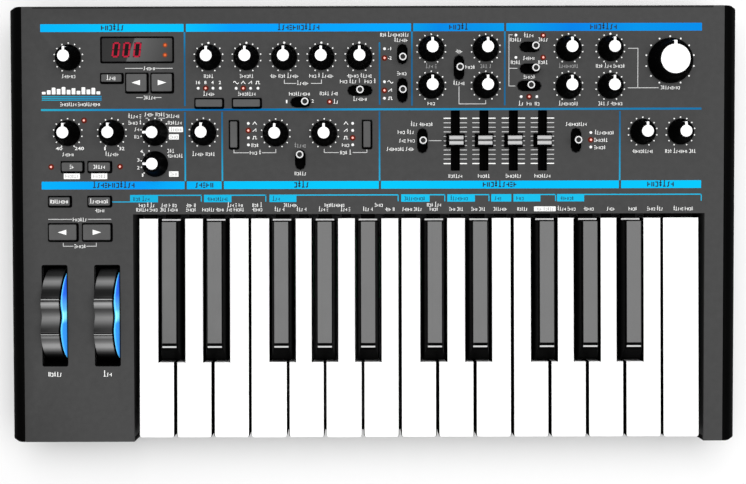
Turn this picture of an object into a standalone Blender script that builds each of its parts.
"""A 25-key analogue bass synthesizer: case, keybed, control deck, wheels, faders, knobs, buttons and rear sockets."""

import math

import bmesh
import bpy
from mathutils import Matrix, Vector

MM = 0.001

# Case, in millimetres. X runs to the right, Y to the back and Z up; the middle of the base is the origin.
CASE_WIDTH = 457.0
CASE_DEPTH = 273.0
CHEEK_WIDTH = 8.8
FOOT_HEIGHT = 4.7
FOOT_RADIUS = 10.0
FOOT_X = 192.0
FOOT_Y = 116.0
FLOOR_THICKNESS = 2.5
WALL = 2.5
GAP = 0.3

# The deck is one flat sheet that rises from the front edge to the back edge.
DECK_RISE = 8.0
DECK_MIDDLE_Z = 57.7
DECK_THICKNESS = 2.0
TILT = math.atan2(DECK_RISE, CASE_DEPTH)
DECK_HALF_WIDTH = CASE_WIDTH / 2 - CHEEK_WIDTH - GAP
HALF_DEPTH = CASE_DEPTH / 2
FLOOR_TOP = FOOT_HEIGHT + FLOOR_THICKNESS

# The key well is open to the front.
WELL_LEFT = -150.6
WELL_RIGHT = 207.6
WELL_BACK = 6.8
WELL_FLANGE = 1.8
WELL_FLANGE_DEPTH = 20.0

# Keys
WHITE_COUNT = 15
WHITE_PITCH = 23.5
FIRST_KEY_X = -147.8
KEY_GAP = 1.2
WHITE_TOP_Z = 56.3
WHITE_HEIGHT = 16.0
WHITE_FRONT_Y = -133.4
KEY_BACK_Y = 4.0
WHITE_CORNER = 1.6
NOTCH_FRONT_Y = -86.1
BLACK_BASE_WIDTH = 13.7
BLACK_TOP_WIDTH = 9.3
BLACK_TOP_Z = 67.7
BLACK_BOTTOM_Z = 43.0
BLACK_FRONT_Y = -84.9
BLACK_FRONT_SLOPE = 9.2
# Each black key stands this far to the right of the joint between its two white neighbours.
BLACK_OFFSETS = {"c_sharp": -2.3, "d_sharp": 2.3, "f_sharp": -3.4, "g_sharp": 0.0, "a_sharp": 3.4}
WHITE_NAMES = ("c", "d", "e", "f", "g", "a", "b")
BLACK_AFTER = {"c": "c_sharp", "d": "d_sharp", "f": "f_sharp", "g": "g_sharp", "a": "a_sharp"}
KEY_WALL = 1.8
KEY_ROOF = 3.0
PIVOT_Y = 19.0
PIVOT_Z = 46.2
ROD_RADIUS = 1.25
CLIP_RADIUS = 1.65
TAIL_INSET = 2.5
TAIL_TOP_Z = 51.7
TAIL_BOTTOM_Z = 47.6
CLIP_FRONT_Y = 14.5
CLIP_BACK_Y = 23.5
CLIP_BOTTOM_Z = 43.2

# Knobs: radius and height steps of the dished flank, from the bottom to the top.
KNOB_FLANK = ((7.8, 0.7), (7.8, 2.0), (6.8, 5.0), (5.9, 9.0), (5.2, 13.5), (4.8, 14.8))
LARGE_KNOB_FLANK = ((14.0, 0.7), (14.0, 2.2), (12.6, 5.2), (11.6, 9.0), (10.8, 13.6), (10.3, 15.0))
KNOB_STEPS = 16
SHAFT_RADIUS = 3.0
SHAFT_HOLE_RADIUS = 4.3
SHAFT_BOTTOM = -6.5
POT_TOP = -7.0

# Control positions along the deck: across, then up the slope from the middle line.
MOVING_KNOBS = {
    "volume_knob": (-190.2, 104.8),
    "tempo_knob": (-191.0, 57.7),
    "note_mode_selector": (-136.3, 57.7),
    "glide_time_knob": (-106.1, 57.8),
    "osc_fine_tune_knob": (-102.7, 104.7),
    "osc_coarse_tune_knob": (-79.0, 104.7),
    "pulse_width_knob": (-8.5, 104.7),
    "lfo_1_speed_knob": (-60.9, 57.2),
    "lfo_2_speed_knob": (-30.6, 57.2),
    "osc_1_level_knob": (36.4, 109.8),
    "filter_resonance_knob": (122.1, 109.8),
    "filter_frequency_knob": (185.5, 102.1),
}
BOARD_KNOBS = {
    "osc_mod_env_depth": (-55.4, 104.7),
    "osc_lfo_1_depth": (-32.2, 104.7),
    "osc_2_level": (70.4, 109.8),
    "sub_osc_level": (36.4, 86.7),
    "noise_level": (70.4, 86.7),
    "filter_mod_env_depth": (148.2, 109.8),
    "filter_overdrive": (122.1, 86.4),
    "filter_lfo_2_depth": (148.2, 86.4),
    "arp_rhythm": (-163.4, 57.8),
    "arp_octaves": (-136.3, 38.3),
    "distortion": (168.6, 57.8),
    "osc_filter_mod": (192.2, 57.8),
}

# Push buttons: centre across and up the slope, then width and depth of the cap.
MOVING_BUTTONS = {
    "octave_down_button": (-194.4, -4.3, 18.3, 10.8),
    "octave_up_button": (-173.1, -4.3, 18.3, 10.8),
    "patch_down_button": (-147.6, 89.0, 13.8, 12.0),
    "patch_up_button": (-131.8, 89.0, 13.8, 12.0),
}
BOARD_BUTTONS = {
    "save": (-163.2, 91.9, 13.8, 5.8),
    "osc_range": (-102.5, 76.2, 17.7, 5.8),
    "osc_waveform": (-79.0, 76.2, 17.9, 5.8),
    "arp_on": (-188.2, 36.6, 14.0, 6.6),
    "arp_latch": (-171.2, 36.6, 14.6, 6.6),
    "transpose": (-196.3, 15.0, 14.1, 6.3),
    "function": (-171.4, 15.0, 14.6, 6.3),
    "lfo_1_wave": (-87.1, 56.6, 5.6, 17.4),
    "lfo_2_wave": (-3.9, 56.6, 5.6, 17.4),
}
BUTTON_TOP = 2.0
BUTTON_TRAVEL = 1.2
BUTTON_FLANGE = 0.8
BUTTON_CLEARANCE = 0.4
BUTTON_STEM_BOTTOM = -7.6
TACT_TOP = -9.2

# Slide switches: centre of the slot, its length, whether it runs up the slope, and where the lever stands.
MOVING_SWITCHES = {
    "oscillator_switch": (-45.4, 76.7, 12.7, False, 3.1),
    "envelope_switch": (30.8, 52.5, 15.6, True, 0.0),
    "triggering_switch": (126.9, 52.6, 15.6, True, 0.0),
}
BOARD_SWITCHES = {
    "pulse_source": (-8.2, 83.9, 15.6, False, 0.0),
    "sub_octave": (18.3, 106.6, 12.7, True, -3.1),
    "sub_wave": (18.3, 84.0, 15.6, True, 0.0),
    "mixer_source": (53.7, 98.0, 15.6, True, 0.6),
    "filter_type": (97.9, 110.8, 12.9, False, 3.1),
    "filter_slope": (98.0, 97.2, 12.9, False, 3.1),
    "filter_shape": (97.6, 86.6, 15.2, False, 0.0),
    "lfo_delay_speed": (-45.6, 40.8, 12.7, True, 3.1),
}
SWITCH_SLOT_WIDTH = 6.4
LEVER_RADIUS = 2.6
LEVER_TOP = 10.0
SWITCH_BODY_TOP = -7.0

# Faders
FADERS = {"attack_fader": 51.4, "decay_fader": 69.3, "sustain_fader": 87.7, "release_fader": 105.9}
FADER_MIDDLE = 52.5
FADER_SLOT_WIDTH = 5.4
FADER_SLOT_LENGTH = 37.4
FADER_CAP = (11.6, 8.8)
FADER_CAP_TOP = (9.3, 5.4)
FADER_HEIGHT = 9.5
FADER_STEM_BOTTOM = -8.0
FADER_BODY_TOP = -8.5

# Pitch and modulation wheels
WHEELS = {"pitch_wheel": -200.0, "mod_wheel": -167.0}
WHEEL_AXLE_Y = -56.9
WHEEL_AXLE_Z = 38.7
WHEEL_WIDTH = 13.6
WHEEL_RADIUS = 29.6
WHEEL_LOWER_RADIUS = 26.0
WHEEL_VALLEY = 5.4
WHEEL_VALLEY_ANGLE = math.radians(21.5)
WHEEL_STEPS = 48
WHEEL_SLOT_WIDTH = 15.1
WHEEL_SLOT_LENGTH = 62.8
WHEEL_SLOT_MIDDLE = -56.8
AXLE_RADIUS = 3.0
AXLE_LENGTH = 25.0
AXLE_CLEARANCE = 0.4
POST_OFFSET = 11.2
POST_THICKNESS = 3.0

# Display
DISPLAY = (-169.8, -124.8, 101.8, 117.4)
DISPLAY_THICKNESS = 1.7
DISPLAY_RECESS = 0.3

# Control board
BOARD_TOP = -14.0
BOARD_THICKNESS = 1.6
BOARD_HALF_WIDTH = 213.5
BOARD_FRONT = 27.0
BOARD_BACK = 130.0
BOARD_BLOCK_FRONT = -13.0
BOARD_BLOCK_RIGHT = -155.0

# Keybed chassis
CHASSIS_BOTTOM = 20.0
CHASSIS_THICKNESS = 2.0
CHASSIS_LEFT = -149.8
CHASSIS_RIGHT = 206.8
CHASSIS_FRONT = -127.0
CHASSIS_BACK = 24.5
BRACKET_JOINTS = (3, 7, 10, 14)
BRACKET_THICKNESS = 2.2
FRONT_RAIL_TOP = 28.8
KEY_FRONT_RAIL_Y = -133.0

# Rear sockets: distance across, radius of the nose and of the bore, and depth of the bore.
SOCKET_Z = 31.5
JACK_SOCKETS = {"sustain": 20.0, "audio_in": -62.0, "audio_out": -100.0, "phones": -138.0}
JACK_NOSE, JACK_BORE, JACK_DEPTH = 5.4, 3.3, 14.0
ROUND_SOCKETS = {"data_in": 112.0, "data_out": 84.0}
ROUND_NOSE, ROUND_BORE, ROUND_DEPTH = 8.4, 7.2, 9.0
POWER_X = 190.0
POWER_NOSE, POWER_BORE, POWER_DEPTH, POWER_PIN = 5.0, 3.1, 10.0, 1.0
USB_X = 142.0
USB_NOSE = (12.4, 11.4)
USB_BORE = (9.2, 8.6)
USB_DEPTH = 9.0
SWITCH_X = 166.0
SWITCH_NOSE = (13.0, 9.0)
SOCKET_FACE_Y = 136.2
SOCKET_BODY_BACK_Y = 133.6
SOCKET_BODY_FRONT_Y = 119.0
SOCKET_BOARD_BOTTOM = 20.0
SOCKET_BOARD_TOP = 21.6
SOCKET_BOARD_FRONT_Y = 92.0


def clear_scene():
    for item in list(bpy.data.objects):
        bpy.data.objects.remove(item, do_unlink=True)


def material(name, color, roughness, metallic=0.0):
    made = bpy.data.materials.new(name)
    made.use_nodes = True
    shader = made.node_tree.nodes["Principled BSDF"]
    shader.inputs["Base Color"].default_value = (*color, 1.0)
    shader.inputs["Roughness"].default_value = roughness
    shader.inputs["Metallic"].default_value = metallic
    made.diffuse_color = (*color, 1.0)
    return made


def mesh_of(points, faces):
    """A mesh from points in millimetres, its faces turned to point out."""
    mesh = bpy.data.meshes.new("shape")
    work = bmesh.new()
    corners = [work.verts.new(Vector(point) * MM) for point in points]
    for face in faces:
        work.faces.new([corners[index] for index in face])
    bmesh.ops.recalc_face_normals(work, faces=work.faces)
    work.to_mesh(mesh)
    work.free()
    return mesh


def loft(sections):
    """A closed solid through rings of equally many points."""
    count = len(sections[0])
    points = [point for section in sections for point in section]
    faces = [tuple(range(count)), tuple(range((len(sections) - 1) * count, len(sections) * count))]
    for level in range(len(sections) - 1):
        base = level * count
        for index in range(count):
            after = (index + 1) % count
            faces.append((base + index, base + after, base + count + after, base + count + index))
    return mesh_of(points, faces)


def box(x_span, y_span, z_span):
    return loft([[(x, y, z) for x, y in corners(x_span, y_span)] for z in z_span])


def corners(first_span, second_span):
    (a, b), (c, d) = first_span, second_span
    return [(a, c), (b, c), (b, d), (a, d)]


def block(u, v, width, depth, w_span):
    return box((u - width / 2, u + width / 2), (v - depth / 2, v + depth / 2), w_span)


def slab(outline, z_span):
    return loft([[(x, y, z) for x, y in outline] for z in z_span])


def side_slab(outline, x_span):
    return loft([[(x, y, z) for y, z in outline] for x in x_span])


def arc(center, radius, start, end, steps):
    """Points on an arc, both ends included, angles in radians."""
    points = []
    for step in range(steps + 1):
        angle = start + (end - start) * step / steps
        points.append((center[0] + radius * math.cos(angle), center[1] + radius * math.sin(angle)))
    return points


def disc(center, radius, steps):
    return arc(center, radius, 0.0, math.tau * (steps - 1) / steps, steps - 1)


def rod(center, radius, w_span, steps=12):
    return slab(disc(center, radius, steps), w_span)


def rear_rod(x, z, radius, y_span, steps=16):
    return loft([[(px, y, pz) for px, pz in disc((x, z), radius, steps)] for y in y_span])


def cross_rod(y, z, radius, x_span, steps=12):
    return side_slab(disc((y, z), radius, steps), x_span)


def stadium(u, v, length, width, upright, steps=4):
    """The outline of a slot with round ends."""
    reach = (length - width) / 2
    ends = [(1, -math.pi / 2), (-1, math.pi / 2)]
    outline = []
    for side, start in ends:
        outline += arc((side * reach, 0.0), width / 2, start, start + math.pi, steps)
    if upright:
        outline = [(-b, a) for a, b in outline]
    return [(u + a, v + b) for a, b in outline]


def lathe(profile, steps):
    """A closed solid turned about Z from (radius, height) pairs that start and end off the axis."""
    return loft([[(a, b, height) for a, b in disc((0, 0), radius, steps)] for radius, height in profile])


def moved(mesh, u, v, w=0.0):
    mesh.transform(Matrix.Translation(Vector((u, v, w)) * MM))
    return mesh


def solid(parts, cuts=()):
    """One mesh: the union of the parts, with every cut taken out."""
    base = bpy.data.objects.new("base", parts[0])
    bpy.context.scene.collection.objects.link(base)
    helpers = []
    groups = []
    for meshes, operation in ((parts[1:], "UNION"), (cuts, "DIFFERENCE")):
        if not meshes:
            continue
        group = bpy.data.collections.new("group")
        bpy.context.scene.collection.children.link(group)
        groups.append(group)
        for mesh in meshes:
            helper = bpy.data.objects.new("helper", mesh)
            group.objects.link(helper)
            helpers.append(helper)
        change = base.modifiers.new(operation, "BOOLEAN")
        change.operation = operation
        change.solver = "EXACT"
        change.operand_type = "COLLECTION"
        change.collection = group
    graph = bpy.context.evaluated_depsgraph_get()
    result = bpy.data.meshes.new_from_object(base.evaluated_get(graph))
    for helper in [base, *helpers]:
        bpy.data.objects.remove(helper, do_unlink=True)
    for group in groups:
        bpy.data.collections.remove(group)
    return result


def deck_point(u, v, w=0.0):
    """A point of the deck, in metres: across, up the slope, and out of the sheet."""
    y = v * math.cos(TILT) - w * math.sin(TILT)
    z = DECK_MIDDLE_Z + v * math.sin(TILT) + w * math.cos(TILT)
    return Vector((u, y, z)) * MM


def deck_height(y):
    return DECK_MIDDLE_Z + y * math.tan(TILT)


def node(name, mesh, finish, location=(0.0, 0.0, 0.0), tilted=False, round_piece=False):
    """One named piece, placed by its location and rotation."""
    mesh.name = name
    made = bpy.data.objects.new(name, mesh)
    if not mesh.materials:
        mesh.materials.append(finish)
    else:
        mesh.materials[0] = finish
    made.location = location
    made.rotation_euler = (TILT if tilted else 0.0, 0.0, 0.0)
    bpy.context.scene.collection.objects.link(made)
    if round_piece:
        mesh.shade_smooth()
        mesh.set_sharp_from_angle(angle=math.radians(35))
    return made


def deck_cuts():
    """Everything that passes through the deck sheet."""
    through = (-DECK_THICKNESS - 1.0, 1.0)
    cuts = [rod(place, SHAFT_HOLE_RADIUS, through) for place in [*MOVING_KNOBS.values(), *BOARD_KNOBS.values()]]
    for u, v, width, depth in [*MOVING_BUTTONS.values(), *BOARD_BUTTONS.values()]:
        cuts.append(block(u, v, width + 2 * BUTTON_CLEARANCE, depth + 2 * BUTTON_CLEARANCE, through))
    for u, v, length, upright, _ in [*MOVING_SWITCHES.values(), *BOARD_SWITCHES.values()]:
        cuts.append(slab(stadium(u, v, length, SWITCH_SLOT_WIDTH, upright), through))
    for u in FADERS.values():
        cuts.append(block(u, FADER_MIDDLE, FADER_SLOT_WIDTH, FADER_SLOT_LENGTH, through))
    for u in WHEELS.values():
        cuts.append(block(u, WHEEL_SLOT_MIDDLE, WHEEL_SLOT_WIDTH, WHEEL_SLOT_LENGTH, through))
    left, right, front, back = DISPLAY
    cuts.append(box((left - GAP, right + GAP), (front - GAP, back + GAP), through))
    return cuts


def top_panel():
    """The folded deck sheet: a U round the key well, with a flange down each side of the well."""
    edge = HALF_DEPTH
    outline = [
        (-DECK_HALF_WIDTH, -edge),
        (WELL_LEFT, -edge),
        (WELL_LEFT, WELL_BACK),
        (WELL_RIGHT, WELL_BACK),
        (WELL_RIGHT, -edge),
        (DECK_HALF_WIDTH, -edge),
        (DECK_HALF_WIDTH, edge),
        (-DECK_HALF_WIDTH, edge),
    ]
    flange = (-WELL_FLANGE_DEPTH, -DECK_THICKNESS / 2)
    parts = [
        slab(outline, (-DECK_THICKNESS, 0.0)),
        box((WELL_LEFT - WELL_FLANGE, WELL_LEFT), (-edge + WALL + GAP, WELL_BACK + WELL_FLANGE), flange),
        box((WELL_RIGHT, WELL_RIGHT + WELL_FLANGE), (-edge + WALL + GAP, WELL_BACK + WELL_FLANGE), flange),
        box((WELL_LEFT - 1, WELL_RIGHT + 1), (WELL_BACK, WELL_BACK + WELL_FLANGE), (-3.4, -DECK_THICKNESS / 2)),
    ]
    return solid(parts, deck_cuts())


def wall_top(y):
    return deck_height(y) - (DECK_THICKNESS + GAP) / math.cos(TILT)


def tilted_wall(x_span, y_span):
    """An upright wall whose top edge follows the underside of the deck."""
    front, back = y_span
    low = FOOT_HEIGHT
    outline = [(front, low), (back, low), (back, wall_top(back)), (front, wall_top(front))]
    return side_slab(outline, x_span)


def wheel_post(x):
    """A post with an open cradle on top for a wheel axle."""
    half = 6.0
    reach = AXLE_RADIUS + AXLE_CLEARANCE
    cradle = arc((WHEEL_AXLE_Y, WHEEL_AXLE_Z), reach, math.pi, math.tau, 8)
    outline = [(WHEEL_AXLE_Y + half, FLOOR_TOP - 1), (WHEEL_AXLE_Y + half, WHEEL_AXLE_Z + 2)]
    outline += [(WHEEL_AXLE_Y + reach, WHEEL_AXLE_Z + 2)]
    outline += list(reversed(cradle))
    outline += [(WHEEL_AXLE_Y - reach, WHEEL_AXLE_Z + 2), (WHEEL_AXLE_Y - half, WHEEL_AXLE_Z + 2)]
    outline += [(WHEEL_AXLE_Y - half, FLOOR_TOP - 1)]
    return side_slab(outline, (x - POST_THICKNESS / 2, x + POST_THICKNESS / 2))


def rear_wall_cuts():
    through = (HALF_DEPTH - WALL - 1, HALF_DEPTH + 1)
    cuts = [rear_rod(x, SOCKET_Z, JACK_NOSE + 0.4, through) for x in JACK_SOCKETS.values()]
    cuts += [rear_rod(x, SOCKET_Z, ROUND_NOSE + 0.4, through) for x in ROUND_SOCKETS.values()]
    cuts.append(rear_rod(POWER_X, SOCKET_Z, POWER_NOSE + 0.4, through))
    for x, (width, height) in ((USB_X, USB_NOSE), (SWITCH_X, SWITCH_NOSE)):
        half_width, half_height = width / 2 + 0.4, height / 2 + 0.4
        z_span = (SOCKET_Z - half_height, SOCKET_Z + half_height)
        cuts.append(box((x - half_width, x + half_width), through, z_span))
    return cuts


def base_shell():
    """The lower case: floor, walls, feet, wheel cradles and the posts that carry the boards."""
    side = DECK_HALF_WIDTH
    parts = [box((-side, side), (-HALF_DEPTH, HALF_DEPTH), (FOOT_HEIGHT, FLOOR_TOP))]
    for x in (-side, side - WALL):
        parts.append(tilted_wall((x, x + WALL), (-HALF_DEPTH, HALF_DEPTH)))
    parts.append(tilted_wall((-side, side), (HALF_DEPTH - WALL, HALF_DEPTH)))
    parts.append(tilted_wall((-side, WELL_LEFT), (-HALF_DEPTH, -HALF_DEPTH + WALL)))
    parts.append(tilted_wall((WELL_RIGHT, side), (-HALF_DEPTH, -HALF_DEPTH + WALL)))
    rail_span = (KEY_FRONT_RAIL_Y, KEY_FRONT_RAIL_Y + WALL)
    parts.append(box((WELL_LEFT - 1, WELL_RIGHT + 1), rail_span, (FOOT_HEIGHT, FRONT_RAIL_TOP)))
    for x in WHEELS.values():
        for side_sign in (-1, 1):
            parts.append(wheel_post(x + side_sign * POST_OFFSET))
    for x in (-120.0, 28.0, 190.0):
        for y in (-110.0, 12.0):
            parts.append(box((x - 4, x + 4), (y - 4, y + 4), (FLOOR_TOP - 1, CHASSIS_BOTTOM - GAP)))
    for x in (-206.0, -70.0, 60.0, 209.0):
        for y in (42.0, 84.0):
            top = deck_height(y) + (BOARD_TOP - BOARD_THICKNESS) - 1.0
            parts.append(box((x - 3, x + 3), (y - 3, y + 3), (FLOOR_TOP - 1, top)))
    for x in (-150.0, 50.0, 196.0):
        parts.append(box((x - 3, x + 3), (104, 110), (FLOOR_TOP - 1, SOCKET_BOARD_BOTTOM - GAP)))
    for x in (-FOOT_X, FOOT_X):
        for y in (-FOOT_Y, FOOT_Y):
            parts.append(moved(lathe(((FOOT_RADIUS - 1.2, 0.0), (FOOT_RADIUS, FOOT_HEIGHT + 1.0)), 20), x, y))
    return solid(parts, rear_wall_cuts())


def cheek_section(y, spread):
    """The rounded outline of an end cheek, as (distance out, height) pairs."""
    top = deck_height(y)
    outline = [(0.0, FOOT_HEIGHT + 0.6), (2.6, FOOT_HEIGHT + 0.6), (6.0, 9.5)]
    for step in range(7):
        angle = math.pi / 2 * step / 6
        outline.append((CHEEK_WIDTH * math.cos(angle), top - 10.0 + 10.0 * math.sin(angle)))
    return [(out * spread, z) for out, z in outline]


def end_cheek(side):
    """One end of the case, its corners drawn in a little at the front and the back."""
    inner = DECK_HALF_WIDTH + GAP
    stations = ((-HALF_DEPTH, 0.72), (-HALF_DEPTH + 1.6, 1.0), (HALF_DEPTH - 1.6, 1.0), (HALF_DEPTH, 0.72))
    sections = []
    for y, spread in stations:
        sections.append([(side * (inner + out), y, z) for out, z in cheek_section(y, spread)])
    return loft(sections)


def white_span(index):
    """Left and right limits of a white key, then of the narrow part between its black neighbours."""
    name = WHITE_NAMES[index % 7]
    left = FIRST_KEY_X + index * WHITE_PITCH + KEY_GAP / 2
    right = FIRST_KEY_X + (index + 1) * WHITE_PITCH - KEY_GAP / 2
    reach = BLACK_BASE_WIDTH / 2 + KEY_GAP
    narrow_left, narrow_right = left, right
    before = WHITE_NAMES[(index - 1) % 7]
    if index > 0 and before in BLACK_AFTER:
        narrow_left = left - KEY_GAP / 2 + BLACK_OFFSETS[BLACK_AFTER[before]] + reach
    if index < WHITE_COUNT - 1 and name in BLACK_AFTER:
        narrow_right = right + KEY_GAP / 2 + BLACK_OFFSETS[BLACK_AFTER[name]] - reach
    return left, right, narrow_left, narrow_right


def tail(left, right):
    """The thin arm behind a key, with an open clip that sits over the pivot rod."""
    clip = arc((PIVOT_Y, PIVOT_Z), CLIP_RADIUS, 0.0, math.pi, 8)
    outline = [(KEY_BACK_Y - 1.0, TAIL_BOTTOM_Z), (CLIP_FRONT_Y, TAIL_BOTTOM_Z), (CLIP_FRONT_Y, CLIP_BOTTOM_Z)]
    outline += [(PIVOT_Y - CLIP_RADIUS, CLIP_BOTTOM_Z)]
    outline += list(reversed(clip))
    outline += [(PIVOT_Y + CLIP_RADIUS, CLIP_BOTTOM_Z), (CLIP_BACK_Y, CLIP_BOTTOM_Z)]
    outline += [(CLIP_BACK_Y, TAIL_TOP_Z), (KEY_BACK_Y - 1.0, TAIL_TOP_Z)]
    return side_slab(outline, (left + TAIL_INSET, right - TAIL_INSET))


def white_key(index):
    left, right, narrow_left, narrow_right = white_span(index)
    front, back = WHITE_FRONT_Y, KEY_BACK_Y
    corner = WHITE_CORNER
    outline = arc((left + corner, front + corner), corner, math.pi, 1.5 * math.pi, 3)
    outline += arc((right - corner, front + corner), corner, 1.5 * math.pi, math.tau, 3)
    if narrow_right < right:
        outline += [(right, NOTCH_FRONT_Y), (narrow_right, NOTCH_FRONT_Y)]
    outline += [(narrow_right, back), (narrow_left, back)]
    if narrow_left > left:
        outline += [(narrow_left, NOTCH_FRONT_Y), (left, NOTCH_FRONT_Y)]
    low = WHITE_TOP_Z - WHITE_HEIGHT
    roof = WHITE_TOP_Z - KEY_ROOF
    wall = KEY_WALL
    body = slab(outline, (low, WHITE_TOP_Z))
    hollow_front = box((left + wall, right - wall), (front + wall, NOTCH_FRONT_Y - wall), (low - 1, roof))
    hollow_back = box((narrow_left + wall, narrow_right - wall), (NOTCH_FRONT_Y - 2 * wall, back - wall), (low - 1, roof))
    return solid([body, tail(narrow_left, narrow_right)], [hollow_front, hollow_back])


def black_center(index):
    name = BLACK_AFTER[WHITE_NAMES[index % 7]]
    return FIRST_KEY_X + (index + 1) * WHITE_PITCH + BLACK_OFFSETS[name]


def black_key(x):
    half_base, half_top = BLACK_BASE_WIDTH / 2, BLACK_TOP_WIDTH / 2
    levels = (
        (half_base, BLACK_FRONT_Y, BLACK_BOTTOM_Z),
        (half_base, BLACK_FRONT_Y, WHITE_TOP_Z - 1.5),
        (half_top + 0.6, BLACK_FRONT_Y + BLACK_FRONT_SLOPE - 1.2, BLACK_TOP_Z - 0.9),
        (half_top, BLACK_FRONT_Y + BLACK_FRONT_SLOPE, BLACK_TOP_Z),
    )
    sections = []
    for half, front, z in levels:
        sections.append([(a, b, z) for a, b in corners((x - half, x + half), (front, KEY_BACK_Y))])
    return solid([loft(sections), tail(x - half_base, x + half_base)])


def about_pivot(mesh, x):
    """The same mesh, measured from the pivot rod at this distance across."""
    return moved(mesh, -x, -PIVOT_Y, -PIVOT_Z)


def knob_profile(flank):
    return ((SHAFT_RADIUS, SHAFT_BOTTOM), (SHAFT_RADIUS, flank[0][1]), *flank)


def knob(flank):
    return lathe(knob_profile(flank), KNOB_STEPS)


def button(width, depth):
    """A cap with chamfered edges, a flange that keeps it under the deck, and a stem."""
    edge = 0.6
    cap = loft(
        [
            [(a, b, z) for a, b in corners((-width / 2 + inset, width / 2 - inset), (-depth / 2 + inset, depth / 2 - inset))]
            for inset, z in ((0.0, -3.2), (0.0, BUTTON_TOP - edge), (edge, BUTTON_TOP))
        ]
    )
    flange = block(0, 0, width + 2 * BUTTON_FLANGE, depth + 2 * BUTTON_FLANGE, (-3.8, -2.7))
    stem = block(0, 0, 4.0, 4.0, (BUTTON_STEM_BOTTOM, -3.5))
    return solid([cap, flange, stem])


def lever():
    """A slide-switch lever: a round peg with a dished tip and a square foot under the deck."""
    peg = lathe(((LEVER_RADIUS, -5.5), (LEVER_RADIUS, LEVER_TOP - 0.5), (LEVER_RADIUS - 0.5, LEVER_TOP)), 12)
    foot = block(0, 0, 5.6, 5.6, (-6.5, -3.0))
    dish = lathe(((1.3, LEVER_TOP - 0.6), (1.8, LEVER_TOP + 0.5)), 12)
    return solid([peg, foot], [dish])


def fader():
    """A fader cap with sloping sides and a finger groove, on a flat stem."""
    (wide, deep), (top_wide, top_deep) = FADER_CAP, FADER_CAP_TOP
    levels = ((wide, deep, 0.6), (wide, deep, 1.8), (top_wide, top_deep, FADER_HEIGHT))
    cap = loft([[(a, b, z) for a, b in corners((-w / 2, w / 2), (-d / 2, d / 2))] for w, d, z in levels])
    stem = block(0, 0, 1.6, 4.6, (FADER_STEM_BOTTOM, 1.2))
    groove = side_slab([(-0.5, FADER_HEIGHT + 1), (0.0, FADER_HEIGHT - 0.5), (0.5, FADER_HEIGHT + 1)], (-8.0, 8.0))
    return solid([cap, stem], [groove])


def wheel():
    """A thumb wheel with a hollow between two ridges, and an axle through its middle."""
    rim = []
    for step in range(WHEEL_STEPS):
        angle = math.tau * step / WHEEL_STEPS
        away = abs((angle - math.pi / 2 + math.pi) % math.tau - math.pi)
        if away < WHEEL_VALLEY_ANGLE:
            radius = WHEEL_RADIUS - WHEEL_VALLEY * (0.5 + 0.5 * math.cos(math.pi * away / WHEEL_VALLEY_ANGLE))
        elif away < math.radians(95):
            radius = WHEEL_RADIUS
        else:
            radius = WHEEL_LOWER_RADIUS
        rim.append((radius * math.cos(angle), radius * math.sin(angle)))
    half = WHEEL_WIDTH / 2
    disk = side_slab(rim, (-half, half))
    axle = cross_rod(0.0, 0.0, AXLE_RADIUS, (-AXLE_LENGTH / 2, AXLE_LENGTH / 2))
    return solid([disk, axle])


def keybed_chassis():
    """The folded plate under the keys, with brackets that hold the pivot rod."""
    top = CHASSIS_BOTTOM + CHASSIS_THICKNESS
    parts = [box((CHASSIS_LEFT, CHASSIS_RIGHT), (CHASSIS_FRONT, CHASSIS_BACK), (CHASSIS_BOTTOM, top))]
    parts.append(box((CHASSIS_LEFT + 3, CHASSIS_RIGHT - 3), (-116.0, -108.0), (top - 1, top + 4.0)))
    reach = ROD_RADIUS + 0.4
    cradle = arc((PIVOT_Y, PIVOT_Z), reach, math.pi, math.tau, 8)
    rim = PIVOT_Z + 1.6
    outline = [(CLIP_FRONT_Y, top - 1), (CHASSIS_BACK, top - 1), (CHASSIS_BACK, rim), (PIVOT_Y + reach, rim)]
    outline += list(reversed(cradle))
    outline += [(PIVOT_Y - reach, rim), (CLIP_FRONT_Y, rim)]
    centers = [FIRST_KEY_X + joint * WHITE_PITCH for joint in BRACKET_JOINTS]
    centers += [CHASSIS_LEFT + BRACKET_THICKNESS / 2, CHASSIS_RIGHT - BRACKET_THICKNESS / 2]
    for x in centers:
        parts.append(side_slab(outline, (x - BRACKET_THICKNESS / 2, x + BRACKET_THICKNESS / 2)))
    return solid(parts)


def key_contact_board():
    """The circuit strip under the keys with its row of rubber contact domes."""
    low = CHASSIS_BOTTOM + CHASSIS_THICKNESS + GAP
    parts = [box((CHASSIS_LEFT + 2, CHASSIS_RIGHT - 2), (-48.0, -8.0), (low, low + 1.6))]
    strip = [(-40.0, low + 1.0), (-18.0, low + 1.0), (-22.0, low + 6.5), (-36.0, low + 6.5)]
    for index in range(WHITE_COUNT):
        middle = FIRST_KEY_X + (index + 0.5) * WHITE_PITCH
        parts.append(side_slab(strip, (middle - 7.0, middle + 7.0)))
    return solid(parts)


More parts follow.
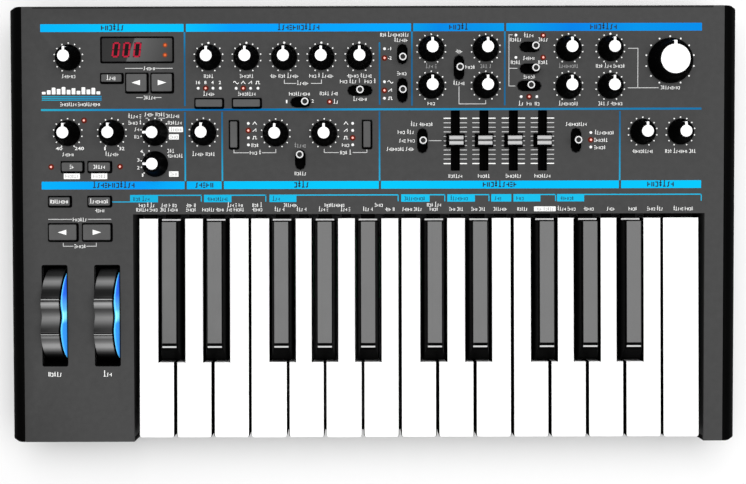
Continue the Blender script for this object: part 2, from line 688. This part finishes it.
def control_board():
    """The deck circuit board with its pots, switches and the caps that stand on it."""
    half = BOARD_HALF_WIDTH
    outline = [
        (-half, BOARD_BLOCK_FRONT),
        (BOARD_BLOCK_RIGHT, BOARD_BLOCK_FRONT),
        (BOARD_BLOCK_RIGHT, BOARD_FRONT),
        (half, BOARD_FRONT),
        (half, BOARD_BACK),
        (-half, BOARD_BACK),
    ]
    low = BOARD_TOP - 0.4
    parts = [slab(outline, (BOARD_TOP - BOARD_THICKNESS, BOARD_TOP))]
    for u, v in [*MOVING_KNOBS.values(), *BOARD_KNOBS.values()]:
        parts.append(block(u, v, 10.0, 11.0, (low, POT_TOP)))
    for u, v in BOARD_KNOBS.values():
        profile = ((SHAFT_RADIUS, POT_TOP - 0.5), (SHAFT_RADIUS, 0.7), *KNOB_FLANK[:1], *KNOB_FLANK[2:])
        parts.append(moved(lathe(profile, 12), u, v))
    for u, v, _, _ in MOVING_BUTTONS.values():
        parts.append(block(u, v, 6.2, 6.2, (low, TACT_TOP)))
    for u, v, width, depth in BOARD_BUTTONS.values():
        parts.append(block(u, v, 4.0, 4.0, (low, 0.0)))
        parts.append(block(u, v, width, depth, (-3.0, BUTTON_TOP)))
    for u, v, _, upright, _ in [*MOVING_SWITCHES.values(), *BOARD_SWITCHES.values()]:
        size = (8.0, 15.0) if upright else (15.0, 8.0)
        parts.append(block(u, v, *size, (low, SWITCH_BODY_TOP)))
    for u, v, _, upright, offset in BOARD_SWITCHES.values():
        place = (u, v + offset) if upright else (u + offset, v)
        parts.append(rod(place, LEVER_RADIUS, (SWITCH_BODY_TOP - 0.5, LEVER_TOP), 8))
    for u in FADERS.values():
        parts.append(block(u, FADER_MIDDLE, 9.0, 46.0, (low, FADER_BODY_TOP)))
    left, right, front, back = DISPLAY
    parts.append(box((left + 1, right - 1), (front + 1, back - 1), (low, -DISPLAY_RECESS - DISPLAY_THICKNESS - 0.6)))
    return solid(parts)


def rear_socket_board():
    """The board behind the back wall, carrying every socket and the power switch."""
    body = (SOCKET_BODY_FRONT_Y, SOCKET_BODY_BACK_Y)
    low = SOCKET_BOARD_TOP - 0.4
    parts = [box((-168.0, 204.0), (SOCKET_BOARD_FRONT_Y, 131.5), (SOCKET_BOARD_BOTTOM, SOCKET_BOARD_TOP))]
    cuts = []
    nose = (SOCKET_BODY_BACK_Y - 1, SOCKET_FACE_Y)
    kinds = [(x, 15.0, JACK_NOSE, JACK_BORE, JACK_DEPTH) for x in JACK_SOCKETS.values()]
    kinds += [(x, 20.0, ROUND_NOSE, ROUND_BORE, ROUND_DEPTH) for x in ROUND_SOCKETS.values()]
    kinds.append((POWER_X, 12.0, POWER_NOSE, POWER_BORE, POWER_DEPTH))
    for x, width, nose_radius, bore_radius, depth in kinds:
        top = SOCKET_Z + max(nose_radius, 7.0)
        parts.append(box((x - width / 2, x + width / 2), body, (low, top)))
        parts.append(rear_rod(x, SOCKET_Z, nose_radius, nose))
        cuts.append(rear_rod(x, SOCKET_Z, bore_radius, (SOCKET_FACE_Y - depth, SOCKET_FACE_Y + 1)))
    for x, (width, height) in ((USB_X, USB_NOSE), (SWITCH_X, SWITCH_NOSE)):
        z_span = (SOCKET_Z - height / 2, SOCKET_Z + height / 2)
        parts.append(box((x - width / 2 - 1, x + width / 2 + 1), body, (low, SOCKET_Z + height / 2)))
        parts.append(box((x - width / 2, x + width / 2), nose, z_span))
    width, height = USB_BORE
    z_span = (SOCKET_Z - height / 2, SOCKET_Z + height / 2)
    cuts.append(box((USB_X - width / 2, USB_X + width / 2), (SOCKET_FACE_Y - USB_DEPTH, SOCKET_FACE_Y + 1), z_span))
    board = solid(parts, cuts)
    pin = rear_rod(POWER_X, SOCKET_Z, POWER_PIN, (SOCKET_FACE_Y - POWER_DEPTH - 1, SOCKET_FACE_Y - 1.5), 8)
    return solid([board, pin])


clear_scene()

deck_paint = material("deck_paint", (0.07, 0.07, 0.072), 0.55)
case_plastic = material("case_plastic", (0.012, 0.012, 0.013), 0.45)
steel = material("steel", (0.55, 0.55, 0.56), 0.35, 1.0)
board_green = material("board_green", (0.02, 0.12, 0.06), 0.5)
white_plastic = material("white_plastic", (0.85, 0.85, 0.83), 0.3)
black_plastic = material("black_plastic", (0.02, 0.02, 0.02), 0.3)
knob_rubber = material("knob_rubber", (0.03, 0.03, 0.032), 0.6)
fader_grey = material("fader_grey", (0.4, 0.4, 0.42), 0.4)
wheel_grey = material("wheel_grey", (0.05, 0.05, 0.055), 0.4)
smoked_glass = material("smoked_glass", (0.01, 0.008, 0.01), 0.1)
socket_black = material("socket_black", (0.015, 0.015, 0.015), 0.5)

node("top_panel", top_panel(), deck_paint, deck_point(0, 0), tilted=True)
node("base_shell", base_shell(), case_plastic)
node("left_end_cheek", end_cheek(-1), case_plastic, round_piece=True)
node("right_end_cheek", end_cheek(1), case_plastic, round_piece=True)
node("keybed_chassis", keybed_chassis(), steel)
rod_span = (CHASSIS_LEFT + 0.3, CHASSIS_RIGHT - 0.3)
node("key_pivot_rod", cross_rod(PIVOT_Y, PIVOT_Z, ROD_RADIUS, rod_span), steel, round_piece=True)
node("key_contact_board", key_contact_board(), board_green)
node("control_board", control_board(), board_green, deck_point(0, 0), tilted=True)
node("rear_socket_board", rear_socket_board(), socket_black)

window_left, window_right, window_front, window_back = DISPLAY
window_span = (-DISPLAY_RECESS - DISPLAY_THICKNESS, -DISPLAY_RECESS)
window = box((window_left, window_right), (window_front, window_back), window_span)
node("display_window", window, smoked_glass, deck_point(0, 0), tilted=True)

for index in range(WHITE_COUNT):
    octave = index // 7 + 1
    note = WHITE_NAMES[index % 7]
    middle = FIRST_KEY_X + (index + 0.5) * WHITE_PITCH
    place = Vector((middle, PIVOT_Y, PIVOT_Z)) * MM
    node(f"key_{note}{octave}", about_pivot(white_key(index), middle), white_plastic, place)
    if note in BLACK_AFTER and index < WHITE_COUNT - 1:
        middle = black_center(index)
        place = Vector((middle, PIVOT_Y, PIVOT_Z)) * MM
        name = f"key_{BLACK_AFTER[note]}{octave}"
        node(name, about_pivot(black_key(middle), middle), black_plastic, place)

for name, (u, v) in MOVING_KNOBS.items():
    flank = LARGE_KNOB_FLANK if name == "filter_frequency_knob" else KNOB_FLANK
    node(name, knob(flank), knob_rubber, deck_point(u, v), tilted=True, round_piece=True)

for name, (u, v, width, depth) in MOVING_BUTTONS.items():
    node(name, button(width, depth), black_plastic, deck_point(u, v), tilted=True)

for name, (u, v, length, upright, offset) in MOVING_SWITCHES.items():
    place = deck_point(u, v + offset) if upright else deck_point(u + offset, v)
    node(name, lever(), black_plastic, place, tilted=True)

for name, u in FADERS.items():
    node(name, fader(), fader_grey, deck_point(u, FADER_MIDDLE), tilted=True)

for name, x in WHEELS.items():
    place = Vector((x, WHEEL_AXLE_Y, WHEEL_AXLE_Z)) * MM
    node(name, wheel(), wheel_grey, place, round_piece=True)
